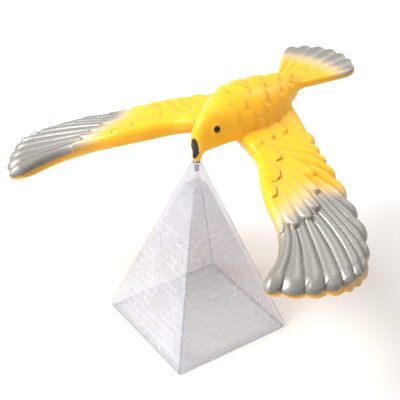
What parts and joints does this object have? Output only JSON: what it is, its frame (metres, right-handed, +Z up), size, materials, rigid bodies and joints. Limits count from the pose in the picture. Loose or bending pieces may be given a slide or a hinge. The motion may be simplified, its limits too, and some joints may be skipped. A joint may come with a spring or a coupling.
{
  "type": "balancing bird toy",
  "caption": "Hollow bird with weighted wing tips that balances by its beak tip on the apex of a clear pyramid stand.",
  "frame": {"origin": "bottom centre of the pyramid stand, on the surface it rests on, straight below the beak tip", "axes": "+Z up, the bird faces -Y at rest and its wings reach along +X (its left) and -X (its right)"},
  "size_m": [0.1516, 0.1343, 0.0928],
  "materials": {
    "yellow": "satin",
    "clear": "gloss",
    "cup_steel": "satin",
    "ball_steel": "polished",
    "slug_brass": "satin",
    "eye_black": "gloss"
  },
  "bodies": {
    "stand": {"pyramid_shell": "clear", "base_plate": "clear"},
    "cup": {"pivot_cup": "cup_steel"},
    "ball": {"pivot_ball": "ball_steel"},
    "bird": {"upper_shell": "yellow", "lower_shell": "yellow", "weight_left": "slug_brass", "weight_right": "slug_brass", "eye_left": "eye_black", "eye_right": "eye_black"}
  },
  "joints": [
    {"name": "spin", "type": "hinge", "parent": "stand", "child": "cup", "pos_m": [0, 0, 0.0741], "axis": [0, 0, 1], "continuous": true},
    {"name": "nod", "type": "hinge", "parent": "cup", "child": "ball", "pos_m": [0, 0, 0.0741], "axis": [1, 0, 0], "range_deg": [-15, 15]},
    {"name": "bank", "type": "hinge", "parent": "ball", "child": "bird", "pos_m": [0, 0, 0.0741], "axis": [0, 1, 0], "range_deg": [-15, 15]}
  ]
}
